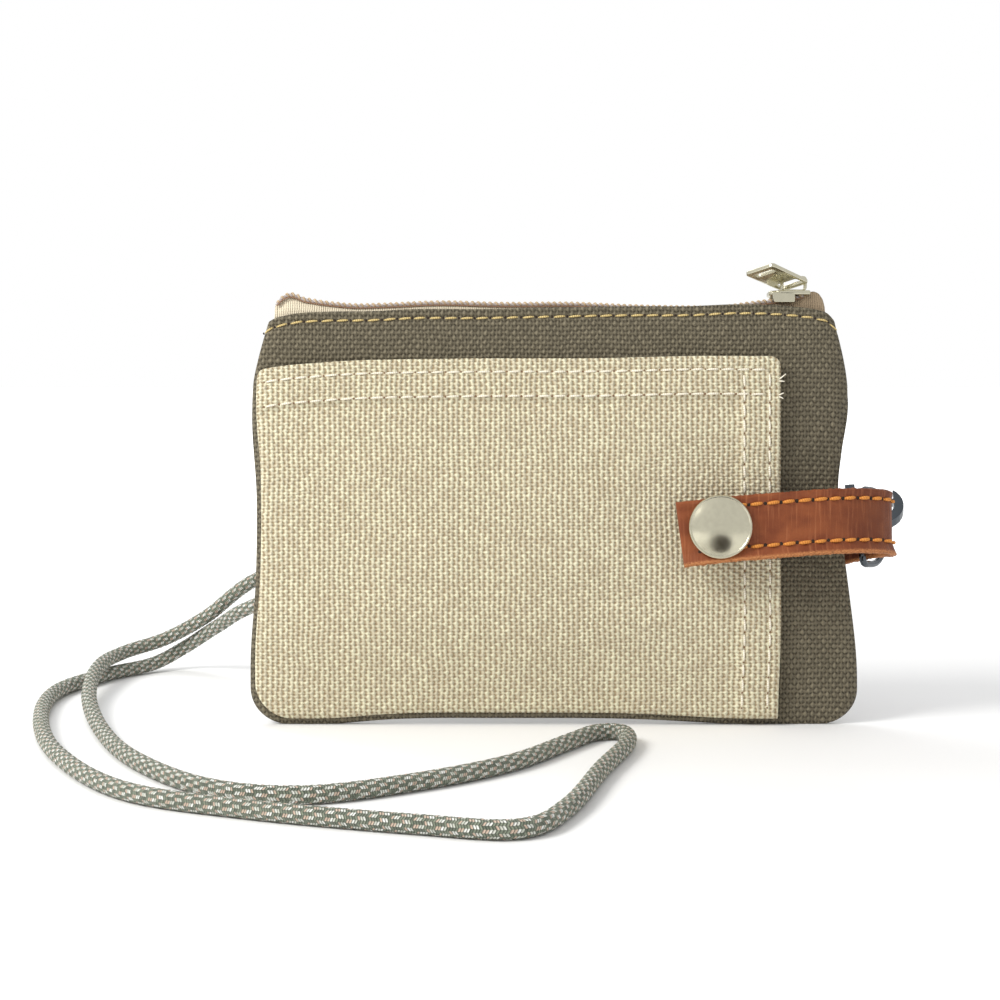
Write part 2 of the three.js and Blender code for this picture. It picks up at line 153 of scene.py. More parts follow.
def finished(name, mesh, material, body, nodes=()):
    """A piece of the object: its finish, the body it rides on and the frame's nodes that it stands for."""
    mesh.materials.clear()
    mesh.materials.append(material)
    obj = linked(name, mesh)
    if body:
        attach(obj, body)
    if nodes:
        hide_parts(*nodes)
    return obj


def make_piece(name, points, faces, material, slot, body, nodes=(), uvs=None, lean=True):
    """A piece from millimetre points. uvs is one pair per point, or one per face corner."""
    points = np.asarray(points, float).reshape(-1, 3)
    if lean:
        points = leaned(points)
    mesh = bpy.data.meshes.new(name)
    mesh.from_pydata((points * MM).tolist(), [], [list(map(int, face)) for face in faces])
    if uvs is not None:
        layer = mesh.uv_layers.new(name="cloth")
        corners = np.empty(len(mesh.loops), dtype=np.int64)
        mesh.loops.foreach_get("vertex_index", corners)
        per_corner = uvs[corners] if len(uvs) == len(points) else uvs
        layer.data.foreach_set("uv", per_corner.ravel())
    smooth_all(mesh)
    mesh.update()
    return finished(name, mesh, material, body, nodes)


def smooth_all(mesh):
    mesh.polygons.foreach_set("use_smooth", [True] * len(mesh.polygons))


def weld(mesh):
    work = bmesh.new()
    work.from_mesh(mesh)
    bmesh.ops.remove_doubles(work, verts=work.verts, dist=1e-6)
    bmesh.ops.recalc_face_normals(work, faces=work.faces)
    work.to_mesh(mesh)
    work.free()


def grid_faces(rows, columns, wrap=False):
    """Quads over a grid of points stored row by row."""
    i = np.arange(columns if wrap else columns - 1)
    k = np.arange(rows - 1)[:, None]
    a = k * columns + i
    b = k * columns + (i + 1) % columns
    return np.stack([a, b, b + columns, a + columns], axis=-1).reshape(-1, 4)


def shell(near, far, uv):
    """Closed cloth from two grids of points (rows, columns, 3) with one outline, and a grid of uv pairs."""
    rows, columns = near.shape[:2]
    count = rows * columns
    quads = grid_faces(rows, columns)
    number = np.arange(count).reshape(rows, columns)
    rim = np.concatenate([number[0], number[1:, -1], number[-1, -2::-1], number[-2:0:-1, 0]])
    after = np.roll(rim, -1)
    edge = np.stack([rim, rim + count, after + count, after], axis=-1)
    points = np.concatenate([near.reshape(-1, 3), far.reshape(-1, 3)])
    faces = np.concatenate([quads, quads[:, ::-1] + count, edge])
    return points, faces, np.tile(uv.reshape(-1, 2), (2, 1))


def spaced(length, step):
    """Places from 0 to length, close together at both ends."""
    middle = np.linspace(RIM[-1] + step, length - RIM[-1] - step, int((length - 2 * RIM[-1]) / step))
    return np.concatenate([RIM, middle, length - np.array(RIM)[::-1]])


def graded(length, middle, fine):
    """Shares of a length: the rim's at its start, then the middle's, and fine ones back from its end."""
    return np.unique(np.concatenate([RIM, middle, length - fine, length - np.array([0.06, 0.2])])) / length


def once_round(sides):
    """Equal angles round a circle."""
    return np.arange(sides) / sides * 2 * np.pi


def distances(path):
    """How far along a path each of its points is."""
    return np.concatenate([[0], np.cumsum(np.linalg.norm(np.diff(path, axis=0), axis=1))])


def sampled(places, gone, rows):
    """Rows of three numbers, which go with the distances gone, read at other places."""
    return np.stack([np.interp(places, gone, rows[:, k]) for k in range(3)], axis=-1)


def respaced(path, step):
    """The path with points the same distance apart, and how far along it they are."""
    gone = distances(path)
    places = np.linspace(0, gone[-1], max(2, round(gone[-1] / step) + 1))
    return sampled(places, gone, path), places


def catmull(points, fine=24):
    """The frame's curve: a uniform Catmull-Rom spline with its ends carried on straight."""
    p = np.array(points, float)
    p = np.concatenate([[2 * p[0] - p[1]], p, [2 * p[-1] - p[-2]]])
    t = np.linspace(0, 1, fine, endpoint=False)[:, None]
    out = []
    for a, b, c, d in zip(p[:-3], p[1:-2], p[2:-1], p[3:]):
        bend = (2 * a - 5 * b + 4 * c - d) * t**2 + (3 * b - a - 3 * c + d) * t**3
        out.append(0.5 * (2 * b + (c - a) * t + bend))
    out.append(p[-2][None])
    return np.concatenate(out)


def tube_frames(path):
    """Side and up directions along a path, turning as little as they can."""
    along = np.gradient(path, axis=0)
    along /= np.linalg.norm(along, axis=1)[:, None]
    side = np.cross(along[0], (0, 0, 1))
    side /= np.linalg.norm(side)
    frames = []
    for direction in along:
        side = side - direction * side.dot(direction)
        side /= np.linalg.norm(side)
        frames.append([side, np.cross(side, direction)])
    return np.array(frames)


def tube_faces(rings, sides):
    """Quads between a tube's rings of points, and a face over each end."""
    quads = grid_faces(rings, sides, wrap=True).tolist()
    last = sides * (rings - 1)
    return [*quads, list(range(sides))[::-1], list(range(last, last + sides))]


def tube(path, radius):
    """Points and faces of a thin round tube with closed ends."""
    sides = 6
    frames = tube_frames(path)
    angle = once_round(sides)
    section = np.stack([np.cos(angle), np.sin(angle)], axis=-1) * radius
    across, up = section[None, :, 0:1], section[None, :, 1:2]
    points = path[:, None, :] + across * frames[:, None, 0] + up * frames[:, None, 1]
    return points.reshape(-1, 3), tube_faces(len(path), sides)


def joined(*parts):
    """Several (points, faces) as one."""
    points, faces, start = [], [], 0
    for part_points, part_faces in parts:
        points.append(part_points)
        faces += [[i + start for i in face] for face in part_faces]
        start += len(part_points)
    return np.concatenate(points), faces


# ---- camera and light ----
LENS, SENSOR = 75.33, 36
CAMERA_PLACE = (-0.0118, -0.452, 0.0785)
CAMERA_DOWN = 3.754  # degrees below the horizon
SKY = 0.76


def studio_camera():
    data = bpy.data.cameras.new("camera")
    data.lens = LENS
    data.sensor_width = SENSOR
    data.clip_start = 0.01
    scene.camera = linked("camera", data)
    scene.camera.location = CAMERA_PLACE
    scene.camera.rotation_euler = (math.radians(90 - CAMERA_DOWN), 0, 0)
    scene.view_settings.view_transform = "Standard"


def studio_sky():
    """White where the camera looks past the floor, and a softer even light on everything else."""
    world = bpy.data.worlds.new("studio")
    scene.world = world
    world.use_nodes = True
    tree = world.node_tree
    sky = tree.nodes["Background"]
    seen = tree.nodes.new("ShaderNodeLightPath")
    white = tree.nodes.new("ShaderNodeBackground")
    either = tree.nodes.new("ShaderNodeMixShader")
    for background, strength in ((sky, SKY), (white, 1.0)):
        background.inputs["Strength"].default_value = strength
        background.inputs["Color"].default_value = (1, 1, 1, 1)
    tree.links.new(seen.outputs["Is Camera Ray"], either.inputs[0])
    tree.links.new(sky.outputs[0], either.inputs[1])
    tree.links.new(white.outputs[0], either.inputs[2])
    tree.links.new(either.outputs[0], tree.nodes["World Output"].inputs[0])


def area_light(name, place, aim, size, power, colour):
    data = bpy.data.lights.new(name, "AREA")
    data.shape = "DISK"
    data.size = size
    data.energy = power
    data.color = colour
    light = linked(name, data)
    light.location = place
    light.rotation_euler = (Vector(aim) - Vector(place)).to_track_quat("-Z", "Y").to_euler()


studio_camera()
studio_sky()
area_light("window", (-0.62, -0.42, 0.62), (0, 0, 0.04), 0.4, 6.2, (1.0, 0.99, 0.96))
area_light("behind", (-0.35, 0.6, 0.7), (0, 0, 0), 0.5, 2.2, (0.97, 0.99, 1.0))


# ---- materials ----
class Paint:
    """A Principled material and short calls for its nodes. Sockets and numbers may be mixed."""

    def __init__(self, name, roughness, metallic=0.0):
        self.material = bpy.data.materials.new(name)
        self.material.use_nodes = True
        self.nodes = self.material.node_tree.nodes
        self.links = self.material.node_tree.links
        self.shader = self.nodes["Principled BSDF"]
        self.set("Roughness", roughness)
        self.set("Metallic", metallic)

    def set(self, key, value):
        self.feed(self.shader.inputs[key], value)

    def feed(self, socket, value):
        if isinstance(value, bpy.types.NodeSocket):
            self.links.new(value, socket)
        elif isinstance(value, tuple) and len(value) == 3 and socket.type == "RGBA":
            socket.default_value = (*value, 1)
        else:
            socket.default_value = value

    def math(self, operation, a, b=0.0):
        node = self.nodes.new("ShaderNodeMath")
        node.operation = operation
        self.feed(node.inputs[0], a)
        self.feed(node.inputs[1], b)
        return node.outputs[0]

    def plus(self, a, b):
        return self.math("ADD", a, b)

    def minus(self, a, b):
        return self.math("SUBTRACT", a, b)

    def times(self, a, b):
        return self.math("MULTIPLY", a, b)

    def mix(self, factor, a, b):
        node = self.nodes.new("ShaderNodeMix")
        node.data_type = "RGBA"
        self.feed(node.inputs["Factor"], factor)
        self.feed(node.inputs["A"], a)
        self.feed(node.inputs["B"], b)
        return node.outputs["Result"]

    def remap(self, value, low, high, to_low=0.0, to_high=1.0):
        node = self.nodes.new("ShaderNodeMapRange")
        node.interpolation_type = "SMOOTHSTEP"
        self.feed(node.inputs["Value"], value)
        for key, number in (("From Min", low), ("From Max", high), ("To Min", to_low), ("To Max", to_high)):
            self.feed(node.inputs[key], number)
        return node.outputs["Result"]

    def noise(self, vector, scale, detail=2.0):
        node = self.nodes.new("ShaderNodeTexNoise")
        self.feed(node.inputs["Vector"], vector)
        node.inputs["Scale"].default_value = scale
        node.inputs["Detail"].default_value = detail
        return node.outputs["Fac"]

    def wander(self, vector, scale, reach):
        """Slow noise between about -reach / 2 and reach / 2."""
        return self.times(self.minus(self.noise(vector, scale, 1.0), 0.5), reach)

    def scatter(self, vector):
        """A random number from 0 to 1 for each vector."""
        node = self.nodes.new("ShaderNodeTexWhiteNoise")
        self.links.new(vector, node.inputs["Vector"])
        return node.outputs["Value"]

    def split(self, vector):
        node = self.nodes.new("ShaderNodeSeparateXYZ")
        self.links.new(vector, node.inputs[0])
        return node.outputs[0], node.outputs[1]

    def uv(self):
        """A piece's own cloth coordinates: both as a vector, then across and up."""
        node = self.nodes.new("ShaderNodeUVMap")
        node.uv_map = "cloth"
        return node.outputs[0], *self.split(node.outputs[0])

    def place(self):
        return self.nodes.new("ShaderNodeTexCoord").outputs["Object"]

    def vector(self, x, y, z=0.0):
        node = self.nodes.new("ShaderNodeCombineXYZ")
        for socket, value in zip(node.inputs, (x, y, z)):
            self.feed(socket, value)
        return node.outputs[0]

    def bump(self, height, distance, strength=1.0):
        node = self.nodes.new("ShaderNodeBump")
        self.feed(node.inputs["Height"], height)
        node.inputs["Distance"].default_value = distance
        node.inputs["Strength"].default_value = strength
        return node.outputs[0]

    def finish(self, colour=None, roughness=None, normal=None):
        for key, value in (("Base Color", colour), ("Roughness", roughness), ("Normal", normal)):
            if value is not None:
                self.set(key, value)
        return self.material


def srgb(r, g, b):
    """Linear colour from 0 to 255 screen values."""
    return tuple((v / 255 / 12.92) if v <= 10 else ((v / 255 + 0.055) / 1.055) ** 2.4 for v in (r, g, b))


def shaded(colour, share):
    return tuple(min(1, c * share) for c in colour)


def canvas(name, across, up, light, dark, columns, rows, late, relief=0.00045):
    """Plain weave with threads at these pitches in mm: a round knot at each crossing, with painted shade in
    the hollow between four.

    columns and rows are the shares of ridges that run up and across the cloth, and late is how far each kind
    of ridge falls behind the knots, in radians; it moves the painted shade as well as the bumps.
    """
    m = Paint(name, 0.9)
    flat, u, v = m.uv()
    for scale, reach in ((0.1, 1.0), (0.5, 0.36)):
        u = m.plus(u, m.wander(flat, scale, reach))
        v = m.plus(v, m.wander(m.vector(v, u, 5.0), scale, reach))
    turn_u = m.math("DIVIDE", u, across)
    turn_v = m.math("DIVIDE", v, up)

    def wave(turns, rate, lag=0.0):
        return m.math("COSINE", m.minus(m.times(turns, rate * math.pi), lag))

    knots = m.times(wave(turn_u, 1), wave(turn_v, 1))
    weave = m.times(knots, 1 - columns - rows)
    weave = m.plus(weave, m.times(wave(turn_u, 2, late[0]), columns))
    weave = m.plus(weave, m.times(wave(turn_v, 2, late[1]), rows))
    knot_tone = m.scatter(m.vector(m.math("ROUND", turn_u), m.math("ROUND", turn_v), 9.0))
    slanted = m.vector(m.times(m.plus(u, v), 4.5), m.times(m.minus(u, v), 1.4))
    fibre = m.minus(m.noise(slanted, 1.0, 3.0), 0.5)
    height = m.plus(weave, m.times(fibre, 0.7))
    height = m.plus(height, m.times(knot_tone, 0.25))
    thread_tone = m.noise(m.vector(turn_u, m.times(turn_v, 0.1)), 1.0, 1.0)
    tone = m.plus(m.times(thread_tone, 0.5), m.times(knot_tone, 0.5))
    threads = m.mix(m.remap(tone, 0.25, 0.75), shaded(light, 0.82), shaded(light, 1.08))
    # Painted shade: the colour turns to dark where the weave is low, in the hollows between the threads.
    shade = m.plus(weave, m.times(fibre, 0.8))
    colour = m.mix(m.remap(shade, -0.66, 0.3), dark, threads)
    m.set("Sheen Weight", 0.05)
    m.set("Sheen Roughness", 0.5)
    m.set("Specular IOR Level", 0.2)
    return m.finish(colour, None, m.bump(height, relief))


def ribbed(name, rib, row, light, dark, far_shade):
    """Woven tape with ribs across its length and rows along it, at these pitches in mm.

    Its far end is darker: painted shade where the tape turns away from the light.
    """
    m = Paint(name, 0.85)
    flat, u, v = m.uv()
    wander = m.wander(flat, 0.5, 0.4)
    ribs = m.math("ABSOLUTE", m.math("SINE", m.times(m.plus(u, wander), math.pi / rib)))
    rows = m.math("ABSOLUTE", m.math("SINE", m.times(v, math.pi / row)))
    height = m.plus(m.math("POWER", ribs, 0.6), m.times(rows, 0.25))
    height = m.plus(height, m.times(m.noise(flat, 4.0, 3.0), 0.4))
    # Painted shade: the cloth darkens towards its far end, where the tape turns away from the light.
    cloth = m.mix(m.remap(u, 40.0, 52.0), light, far_shade)
    # Painted shade: the colour is dark in the hollows between the ribs and rows.
    colour = m.mix(m.remap(height, 0.35, 1.1), dark, cloth)
    return m.finish(colour, None, m.bump(height, 0.00014))


def metal(name, colour, roughness, scratch):
    """Plated metal with fine wear and soft mottling."""
    m = Paint(name, roughness, 1.0)
    spots = m.noise(m.place(), 900.0, 3.0)
    haze = m.noise(m.place(), 220.0)
    rough = m.remap(haze, 0.3, 0.7, roughness - scratch, roughness + scratch)
    tone = m.mix(m.remap(spots, 0.35, 0.65), shaded(colour, 0.95), colour)
    return m.finish(tone, rough, m.bump(spots, 0.00002, 0.35))


def nylon(name, colour):
    m = Paint(name, 0.42)
    spots = m.noise(m.place(), 1500.0)
    tone = m.mix(m.remap(spots, 0.3, 0.7), shaded(colour, 0.78), colour)
    return m.finish(tone, None, m.bump(spots, 0.00003))


def thread(name, light, dark):
    """Twisted sewing thread: the twist runs along V."""
    m = Paint(name, 0.7)
    _, u, v = m.uv()
    twist = m.math("SINE", m.times(m.plus(m.times(v, 2.2), u), 2 * math.pi))
    # Painted shade: the colour is dark in the grooves of the twist.
    colour = m.mix(m.remap(twist, -1.2, 0.2), dark, light)
    m.set("Specular IOR Level", 0.3)
    return m.finish(colour, None, m.bump(twist, 0.00004))


def braid():
    """Stitches in rows along the cord; in each row a few white or pinkish ones follow a few green."""
    m = Paint("cord braid", 0.75)
    _, wale, stitch = m.uv()
    row = m.math("FLOOR", wale)
    across = m.minus(m.math("FRACT", wale), 0.5)
    slant_way = m.minus(1.0, m.times(m.math("MODULO", row, 2.0), 2.0))
    slanted = m.plus(stitch, m.times(m.times(slant_way, across), STITCH_SLANT))
    number = m.math("FLOOR", slanted)
    along = m.minus(m.math("FRACT", slanted), 0.5)
    hump = m.times(m.math("COSINE", m.times(along, math.pi)), m.math("COSINE", m.times(across, 2.2)))
    shifted = m.plus(m.plus(number, 4000.0), m.times(row, 4.0))
    carrier = m.math("MODULO", m.plus(shifted, m.times(row, 0.37)), 8.0)
    pale = m.math("LESS_THAN", carrier, 3.4)
    pink = m.times(pale, m.math("GREATER_THAN", carrier, 2.2))
    vary = m.scatter(m.vector(number, row))
    green = m.mix(vary, srgb(98, 108, 92), srgb(142, 150, 130))
    colour = m.mix(pale, green, m.mix(vary, srgb(206, 208, 194), srgb(255, 255, 250)))
    colour = m.mix(pink, colour, srgb(214, 190, 170))
    # Painted shade: the colour is dark in the hollows between the stitches.
    colour = m.mix(m.remap(hump, 0.05, 0.45), srgb(74, 78, 66), colour)
    m.set("Sheen Weight", 0.1)
    return m.finish(colour, None, m.bump(hump, 0.00028))


def leather():
    """Oiled leather: U runs along the strap and V across it, both in mm; V under -6.9 is the raw edge."""
    m = Paint("tan leather", 0.44)
    flat, u, v = m.uv()

    def streaks(along, across, scale, detail):
        return m.noise(m.vector(m.times(u, along), m.times(v, across)), scale, detail)

    grain = m.noise(flat, 2.6, 4.0)
    pores = m.nodes.new("ShaderNodeTexVoronoi")
    m.links.new(flat, pores.inputs["Vector"])
    pores.inputs["Scale"].default_value = 2.2
    creases = streaks(1.9, 0.1, 1.0, 4.0)
    cloud = streaks(0.12, 0.2, 1.0, 2.0)
    body = m.mix(m.remap(cloud, 0.3, 0.7), srgb(118, 58, 30), srgb(144, 78, 42))
    body = m.mix(m.times(m.remap(u, 26.0, 50.0), 0.6), body, srgb(92, 46, 26))
    body = m.mix(m.times(m.remap(creases, 0.5, 0.75), 0.42), body, srgb(186, 118, 76))
    body = m.mix(m.times(m.remap(grain, 0.55, 0.8), 0.22), body, srgb(84, 40, 24))
    raw = m.remap(m.plus(v, m.times(grain, 0.7)), -6.1, -5.5, 1.0, 0.0)
    fibres = streaks(1.4, 5.0, 1.3, 4.0)
    edge = m.mix(m.remap(fibres, 0.3, 0.7), srgb(140, 80, 42), srgb(206, 140, 88))
    colour = m.mix(raw, body, edge)
    rough = m.remap(cloud, 0.3, 0.8, 0.56, 0.46)
    m.set("Specular IOR Level", 0.3)
    height = m.plus(m.times(grain, 0.5), m.times(pores.outputs["Distance"], 0.35))
    height = m.plus(height, m.times(creases, 0.5))
    return m.finish(colour, rough, m.bump(height, 0.00012))


# The darker colour given to each cloth, tape and thread below is painted shade for its hollows; the tape's
# last colour is painted shade on its far end.
OLIVE = canvas("olive canvas", 0.78, 1.05, srgb(138, 129, 108), srgb(56, 50, 39), 0.2, 0.26, (0, -0.2))
BEIGE = canvas("beige canvas", 1.12, 0.757, srgb(252, 241, 210), srgb(160, 138, 104), 0.37, 0.2, (0.7, 0.6))
LINING = canvas("lining cloth", 0.5, 0.5, srgb(190, 178, 152), srgb(110, 100, 80), 0.3, 0.3, (0, 0), 0.0001)
TAPE = ribbed("zip tape", 0.48, 0.62, srgb(232, 220, 194), srgb(140, 122, 96), srgb(170, 149, 122))
COIL = nylon("coil nylon", srgb(196, 170, 134))
CORE = nylon("coil core", srgb(186, 174, 168))
NICKEL = metal("nickel", srgb(214, 209, 186), 0.22, 0.04)
GUNMETAL = metal("gunmetal", srgb(88, 93, 98), 0.16, 0.05)
OCHRE = thread("ochre thread", srgb(224, 202, 142), srgb(186, 156, 94))
BROWN = thread("coil thread", srgb(150, 116, 92), srgb(112, 84, 66))
CREAM = thread("cream thread", srgb(252, 246, 230), srgb(232, 220, 194))
ORANGE = thread("orange thread", srgb(226, 150, 70), srgb(200, 122, 50))
# Painted shade: the dark colour of the needle holes, with paler ones for the cream thread on the beige cloth.
HOLE_SHADE = Paint("stitch hole shade", 0.95).finish(srgb(48, 34, 24))
PALE_HOLE_SHADE = Paint("pale stitch hole shade", 0.95).finish(srgb(128, 98, 72))
BRAID = braid()
TAN = leather()


# ---- floor and stand ----
def floor(half):
    """A pale floor that glows white away from the object, so that no horizon shows."""
    mesh = bpy.data.meshes.new("floor")
    corners = [(-half, -half, 0), (half, -half, 0), (half, half, 0), (-half, half, 0)]
    mesh.from_pydata(corners, [], [(0, 1, 2, 3)])
    m = Paint("floor", 0.8)
    x, y = m.split(m.place())
    far = m.plus(m.math("POWER", x, 2.0), m.math("POWER", y, 2.0))
    looked_at = m.nodes.new("ShaderNodeLightPath").outputs["Is Camera Ray"]
    glow = m.times(m.remap(far, 0.02, 0.3, 0.0, 0.8), looked_at)
    m.set("Emission Strength", glow)
    m.set("Emission Color", (1, 1, 1))
    mesh.materials.append(m.finish((0.92, 0.92, 0.92)))
    linked("floor", mesh)


def dark_stand(name, place, radius):
    """Stands in for the dark apparatus that bright metal reflects; the camera doesn't see it."""
    mesh = bpy.data.meshes.new(name)
    work = bmesh.new()
    bmesh.ops.create_icosphere(work, subdivisions=3, radius=radius)
    work.to_mesh(mesh)
    work.free()
    mesh.materials.append(Paint(name, 0.9).finish((0.07, 0.06, 0.055)))
    stand = linked(name, mesh)
    stand.location = place
    stand.visible_camera = False
    stand.visible_shadow = False
    stand.visible_diffuse = False


floor(6.0)
dark_stand("dark_stand", (0.041, -0.088, 0.012), 0.027)


# ---- neck cord: the same route as the frame's, in mm in the row frame ----
CORD_ROUTE = [
    (39.1, 22.45, 45.44), (25, 24.1, 44.2), (0, 30, 40.5), (-30, 42, 36), (-55, 55.5, 30.5),
    (-72.8, 66.7, 24.5), (-86, 74.5, 14.5), (-97, 78.5, 8.3), (-106.5, 70, 5.8), (-108.5, 48, 5.3),
    (-104.5, 16, 3.2), (-94.5, -20.3, 1.8), (-82, -52, 1.8), (-65, -77, 1.8), (-47, -84, 1.8),
    (-28, -73, 1.8), (-10, -54.5, 1.8), (2.5, -31, 1.8), (8.3, -20.8, 1.8), (13.8, -21.5, 1.8),
    (13.8, -34, 1.8), (7.5, -60, 1.8), (0, -94, 1.8), (-8.5, -111, 1.8), (-26, -107.5, 1.8),
    (-56, -95.5, 1.8), (-80, -79.5, 1.8), (-99, -44.5, 1.8), (-111, -4, 1.8), (-115.5, 33, 1.8),
    (-109, 60, 1.8), (-100, 75.5, 2.2), (-92.5, 80.5, 5.8), (-83, 72.5, 12.2), (-72.3, 58, 19),
    (-50, 46, 27), (-20, 34, 33.8), (10, 27, 37.4), (28, 23.6, 40.2), (39.4, 21.95, 41.26),
]


def neck_cord():
    """The braided cord, and its middle line in metres."""
    path, places = respaced(catmull(CORD_ROUTE), 0.36)
    sides, rings = 32, len(path)
    frames = tube_frames(path)
    angle = once_round(sides)
    wale = np.arange(sides) / sides * CORD_WALES
    stitch = places / CORD_STITCH
    across = wale % 1 - 0.5
    slant_way = 1 - 2 * (np.floor(wale) % 2)
    slanted = stitch[:, None] + slant_way * across * STITCH_SLANT
    hump = np.cos((slanted % 1 - 0.5) * np.pi) * np.cos(across * 2.2)
    radius = CORD_DIAMETER / 2 - CORD_RELIEF + CORD_RELIEF * hump
    turned_side = np.cos(angle)[None, :, None] * frames[:, None, 0]
    turned_up = np.sin(angle)[None, :, None] * frames[:, None, 1]
    points = path[:, None] + radius[:, :, None] * (turned_side + turned_up)
    one_ring = np.repeat([[0, 1, 1, 0]], sides, axis=0) + np.arange(sides)[:, None]
    corner_side = np.tile(one_ring, (rings - 1, 1))
    corner_row = np.repeat(np.arange(rings - 1), sides)[:, None] + np.array([[0, 0, 1, 1]])
    uvs = np.stack([corner_side.ravel() * CORD_WALES / sides, stitch[corner_row.ravel()]], axis=-1)
    uvs = np.concatenate([uvs, np.zeros((2 * sides, 2))])
    faces = tube_faces(rings, sides)
    nodes = ["neck_cord"]
    cord = make_piece("braided_cord", points, faces, BRAID, "cord_braid", "root", nodes, uvs, lean=False)
    return cord, respaced(path, 4.0)[0] * MM


def softened(name, node, material, body, voxel, passes):
    """A cast or bent metal piece: the frame's solid with its facets and edges worn round."""
    holder = linked(name + "_rough", bpy.data.objects[node].data.copy())
    remesh = holder.modifiers.new("remesh", "REMESH")
    remesh.mode = "VOXEL"
    remesh.voxel_size = voxel * MM
    smooth = holder.modifiers.new("smooth", "SMOOTH")
    smooth.iterations = passes
    smooth.factor = 0.5
    graph = bpy.context.evaluated_depsgraph_get()
    graph.update()
    mesh = bpy.data.meshes.new_from_object(holder.evaluated_get(graph))
    bpy.data.objects.remove(holder)
    smooth_all(mesh)
    return finished(name, mesh, material, body, [node])


cord_piece, cord_centre = neck_cord()
softened("ring_wire", "d_ring", GUNMETAL, "ring", 0.13, 5)
softened("hook_casting", "clasp_body", GUNMETAL, "clasp", 0.13, 6)
softened("hook_lever", "clasp_gate", GUNMETAL, "gate", 0.12, 4)
softened("lever_pin", "gate_pin", NICKEL, "clasp", 0.08, 2)
softened("lever_spring", "gate_spring", NICKEL, "clasp", 0.05, 1)
softened("swivel_post", "swivel_eye", GUNMETAL, "root", 0.12, 3)
cord_crimp = softened("cord_crimp", "cord_end_cap", GUNMETAL, "root", 0.14, 6)


# ---- canvas ----
left_line = flowing([
    (0, -66), (15, -66.2), (32, -65.2), (52, -65.1), (73.6, -66.1), (79, -65.7), (84.6, -64.3), (91, -62.3),
])
right_line = flowing([
    (0, 66), (13.7, 66), (32, 64.2), (43, 62.9), (55, 62.3), (61.6, 63), (75, 64.5), (79, 64.1), (91, 61.2),
])
top_line = flowing([
    (-65, 86.4), (-62.4, 87.8), (-61, 88.4), (-59, 88.9), (-56, 89.4), (-50, 89.7), (-38, 89.9), (-33, 90.2),
    (-16, 90.3), (-1, 90.6), (18, 90.9), (29, 90.9), (40, 91.3), (46, 91.2), (53, 90.7), (57.5, 90.1),
    (59.6, 89.5), (61, 88.4), (65, 85.8),
])
bottom_line = flowing([(-65, 0), (-48, 0), (-36, 0.9), (-10, 1.2), (20, 0.9), (38, 0), (65, 0)])
pocket_top_line = flowing([
    (-66, 76.6), (-62, 77.3), (-50, 78.4), (-20, 79.2), (10, 79.3), (34, 79.7), (50, 79.6),
])


def rounding(distance, radius):
    """How far an outline falls back at this distance from a rounded corner."""
    return radius - np.sqrt(radius**2 - np.clip(radius - distance, 0, radius) ** 2)


def edges(z):
    return left_line(z) + rounding(z, CORNER), right_line(z) - rounding(z, CORNER)


def round_over(distance, radius):
    return np.sqrt(1 - (1 - np.clip(distance / radius, 0, 1)) ** 2)


def dent(distance, width, depth):
    """How deep the cloth or leather dips at this distance from a sewn row."""
    return np.exp(-(distance**2) / width) * depth


def slack(x, z):
    """Soft unevenness of the filled pouch's face."""
    ridge = np.exp(-(((x + 8) * 0.62 - (z - 40) * 0.78) ** 2) / 260) * 0.55
    hollow = np.exp(-((x - 38) ** 2) / 700 - (z - 22) ** 2 / 500) * -0.5
    pull = np.exp(-((x - 58) ** 2) / 60 - (z - 48) ** 2 / 260) * -0.9
    return ridge + hollow + pull


def face_out(x, z):
    """How far the pouch's face stands in front of its middle plane."""
    left, right = edges(z)
    place = np.clip(np.abs(2 * (x - left) / (right - left) - 1), 0, 1)
    up = smoothstep(z, -4, 26)
    belly = BULGE * np.minimum(1, up * (1 - place**2) ** 0.6 / 0.9)
    mouth = (MOUTH_HALF - SEAM_HALF) * (1 - place**14) ** 0.5
    towards_mouth = smoothstep(z, 62, 86)
    crown = belly + (mouth - belly) * towards_mouth
    rim = np.minimum(np.minimum(x - left, right - x), z - bottom_line(x))
    roll = round_over(rim, 2.2)
    return 0.08 + (SEAM_HALF + crown + slack(x, z) * roll * smoothstep(z, 0, 20) - 0.08) * roll


def sheet_grid(columns, rows, left_right, low, high, height):
    """x and z over a cloth: columns and rows run from 0 to 1."""
    s, t = np.meshgrid(columns, rows)
    left, right = left_right(t * height)
    x = left + (right - left) * s
    z = low(x) + (high(x) - low(x)) * t
    return x, z


def cloth_piece(name, side, x, z, out, inside, material, slot, node):
    """A closed cloth on one side of the pouch, from how far its two faces stand off the middle plane."""
    outer = np.stack([x, side * out, z], axis=-1)
    inner = np.stack([x, side * inside, z], axis=-1)
    near, far = (outer, inner) if side == FRONT else (inner, outer)
    points, faces, uvs = shell(near, far, np.stack([x, z], axis=-1))
    return make_piece(name, points, faces, material, slot, "root", [node], uvs)


def panel(name, side, node):
    columns = spaced(POUCH_WIDTH, 0.8) / POUCH_WIDTH
    rows = graded(POUCH_HEIGHT, np.append(2.2, np.arange(3, 80, 0.9)), np.arange(0, 12, 0.42))
    x, z = sheet_grid(columns, rows, edges, bottom_line, top_line, POUCH_HEIGHT)
    below = top_line(x) - z
    out = face_out(x, z)
    inside = np.maximum(out - CANVAS, 0.02)
    folded = np.maximum(out - 1.9, 0.02)
    inside += (folded - inside) * (1 - smoothstep(below, 8, 9))
    middle, half = (out + inside) / 2, (out - inside) / 2 * round_over(below, EDGE_ROLL)
    out = middle + half - dent(below - SEAM_DOWN, 0.5, 0.28) * (below < 6)
    return cloth_piece(name, side, x, z, out, middle - half, OLIVE, "olive_canvas", node)


front_canvas = panel("front_canvas", FRONT, "front_panel")
back_canvas = panel("back_canvas", BACK, "back_panel")


